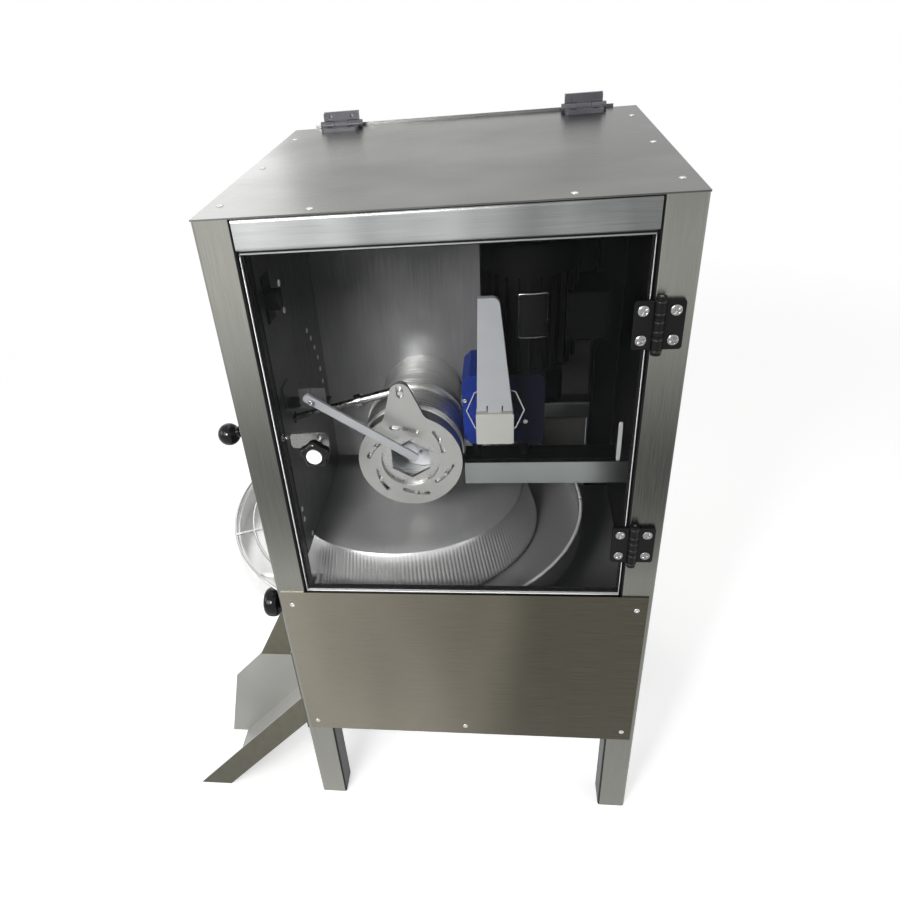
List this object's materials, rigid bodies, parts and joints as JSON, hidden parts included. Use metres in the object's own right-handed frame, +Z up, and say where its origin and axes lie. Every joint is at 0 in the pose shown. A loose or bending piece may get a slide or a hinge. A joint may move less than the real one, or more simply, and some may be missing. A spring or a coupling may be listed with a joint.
{
  "type": "dough divider rounder",
  "caption": "Stainless cabinet dough divider rounder: auger and adjustable iris nozzle, turning knife, fluted rounding cone in a bowl, side chute and clear front door.",
  "frame": {"origin": "on the floor, at the middle of the whole machine's width and depth, chute included", "axes": "+X to the machine's right seen from the front, +Y from the door to the rear hatch, +Z up"},
  "size_m": [0.8914, 0.644, 1.1775],
  "materials": {
    "stainless": "brushed sheet",
    "bright_wire": "polished wire",
    "bowl_steel": "satin turned",
    "cone_aluminium": "satin machined",
    "head_aluminium": "satin machined",
    "leaf_steel": "polished",
    "clear_pane": "clear",
    "black_rubber": "matte",
    "black_nylon": "fine grained",
    "knob_black": "polished",
    "cap_white": "polished",
    "gear_blue": "gloss paint on a casting",
    "motor_black": "satin paint",
    "arm_grey": "moulded",
    "hub_cream": "machined",
    "strip_clear": "translucent",
    "control_grey": "powder coat",
    "start_green": "moulded",
    "stop_red": "moulded"
  },
  "bodies": {
    "cabinet": {"corner_posts": "stainless", "leg_plugs": "black_rubber", "frame_rails": "stainless", "top_sheet": "stainless", "front_panel": "stainless", "left_side_panel": "stainless", "right_side_panel": "stainless", "back_panel": "stainless", "base_sheet": "stainless", "left_liner": "stainless", "partition": "stainless", "door_seal": "black_rubber", "door_hinge_fixed": "black_nylon", "hinge_pins": "stainless", "strike_bolt": "stainless", "door_switch": "stainless", "hatch_hinge_fixed": "black_nylon", "nozzle_body": "head_aluminium", "auger_barrel": "head_aluminium", "rod_bush": "stainless", "knife_gearbox": "gear_blue", "knife_motor": "motor_black", "gearbox_rail": "stainless", "gearbox_stand": "motor_black", "auger_drive": "motor_black", "hopper": "stainless", "stripper_bar": "strip_clear", "stripper_bracket": "stainless", "rounder_bowl": "bowl_steel", "drive_shelf": "stainless", "rounder_drive": "motor_black", "outlet_chute": "stainless", "outlet_guard": "bright_wire", "control_box": "control_grey", "cable_gland": "black_nylon"},
    "door": {"door_pane": "clear_pane", "door_hinge_moving": "black_nylon"},
    "latch": {"star_knob": "knob_black", "star_knob_cap": "cap_white", "latch_tongue": "stainless"},
    "hatch": {"hatch_panel": "stainless", "hatch_hinge_moving": "black_nylon", "hatch_handle": "stainless"},
    "ring": {"cam_ring": "head_aluminium"},
    "rod": {"adjust_rod": "stainless", "ball_knob": "knob_black"},
    "auger": {"auger": "arm_grey"},
    "knife": {"knife_hub": "hub_cream", "knife_arm": "arm_grey"},
    "cone": {"rounding_cone": "cone_aluminium"},
    "hand_knob": {"hand_knob": "knob_black"},
    "start_button": {"start_button": "start_green"},
    "stop_button": {"stop_button": "stop_red"},
    "speed_dial": {"speed_dial": "knob_black"},
    "leaf_1": {"iris_leaf_1": "leaf_steel"},
    "leaf_2": {"iris_leaf_2": "leaf_steel"},
    "leaf_3": {"iris_leaf_3": "leaf_steel"},
    "leaf_4": {"iris_leaf_4": "leaf_steel"},
    "leaf_5": {"iris_leaf_5": "leaf_steel"},
    "leaf_6": {"iris_leaf_6": "leaf_steel"}
  },
  "joints": [
    {"name": "door_hinge", "type": "hinge", "parent": "cabinet", "child": "door", "pos_m": [0.3742, -0.3, 0.829], "axis": [0, 0, 1], "range_deg": [0, 165]},
    {"name": "latch_turn", "type": "hinge", "parent": "door", "child": "latch", "pos_m": [-0.0723, -0.293, 0.829], "axis": [0, 1, 0], "range_deg": [0, 90]},
    {"name": "hatch_hinge", "type": "hinge", "parent": "cabinet", "child": "hatch", "pos_m": [0.1157, 0.267, 1.157], "axis": [1, 0, 0], "range_deg": [0, 90]},
    {"name": "ring_turn", "type": "hinge", "parent": "cabinet", "child": "ring", "pos_m": [0.0427, -0.193, 0.738], "axis": [0, -1, 0], "range_deg": [-10, 10]},
    {"name": "rod_slide", "type": "slide", "parent": "cabinet", "child": "rod", "axis": [0.9686, 0, 0.2487], "range_m": [-0.02206, 0.02206]},
    {"name": "auger_spin", "type": "hinge", "parent": "cabinet", "child": "auger", "pos_m": [0.0427, -0.151, 0.738], "axis": [0, 1, 0], "continuous": true},
    {"name": "knife_spin", "type": "hinge", "parent": "cabinet", "child": "knife", "pos_m": [0.1757, -0.205, 0.804], "axis": [0, 1, 0], "continuous": true},
    {"name": "cone_spin", "type": "hinge", "parent": "cabinet", "child": "cone", "pos_m": [0.0007, -0.003, 0.575], "axis": [0, 0, 1], "continuous": true},
    {"name": "hand_knob_turn", "type": "hinge", "parent": "cabinet", "child": "hand_knob", "pos_m": [-0.1843, -0.268, 0.503], "axis": [-1, 0, 0], "range_deg": [-180, 180]},
    {"name": "start_press", "type": "slide", "parent": "cabinet", "child": "start_button", "axis": [-1, 0, 0], "range_m": [0, 0.004], "stiffness_N_per_m": 400},
    {"name": "stop_press", "type": "slide", "parent": "cabinet", "child": "stop_button", "axis": [-1, 0, 0], "range_m": [0, 0.004], "stiffness_N_per_m": 400},
    {"name": "speed_turn", "type": "hinge", "parent": "cabinet", "child": "speed_dial", "pos_m": [0.4337, 0.027, 1.012], "axis": [1, 0, 0], "range_deg": [-135, 135]},
    {"name": "leaf_1_slide", "type": "slide", "parent": "cabinet", "child": "leaf_1", "axis": [0.866, 0, 0.5], "range_m": [-0.00918, 0.00918]},
    {"name": "leaf_2_slide", "type": "slide", "parent": "cabinet", "child": "leaf_2", "axis": [0, 0, 1], "range_m": [-0.00918, 0.00918]},
    {"name": "leaf_3_slide", "type": "slide", "parent": "cabinet", "child": "leaf_3", "axis": [-0.866, 0, 0.5], "range_m": [-0.00918, 0.00918]},
    {"name": "leaf_4_slide", "type": "slide", "parent": "cabinet", "child": "leaf_4", "axis": [-0.866, 0, -0.5], "range_m": [-0.00918, 0.00918]},
    {"name": "leaf_5_slide", "type": "slide", "parent": "cabinet", "child": "leaf_5", "axis": [0, 0, -1], "range_m": [-0.00918, 0.00918]},
    {"name": "leaf_6_slide", "type": "slide", "parent": "cabinet", "child": "leaf_6", "axis": [0.866, 0, -0.5], "range_m": [-0.00918, 0.00918]}
  ],
  "couplings": [
    {"joint": "rod_slide", "follows": "ring_turn", "m_per_rad": -0.12389},
    {"joint": "leaf_1_slide", "follows": "ring_turn", "m_per_rad": -0.051566},
    {"joint": "leaf_2_slide", "follows": "ring_turn", "m_per_rad": -0.051566},
    {"joint": "leaf_3_slide", "follows": "ring_turn", "m_per_rad": -0.051566},
    {"joint": "leaf_4_slide", "follows": "ring_turn", "m_per_rad": -0.051566},
    {"joint": "leaf_5_slide", "follows": "ring_turn", "m_per_rad": -0.051566},
    {"joint": "leaf_6_slide", "follows": "ring_turn", "m_per_rad": -0.051566}
  ]
}
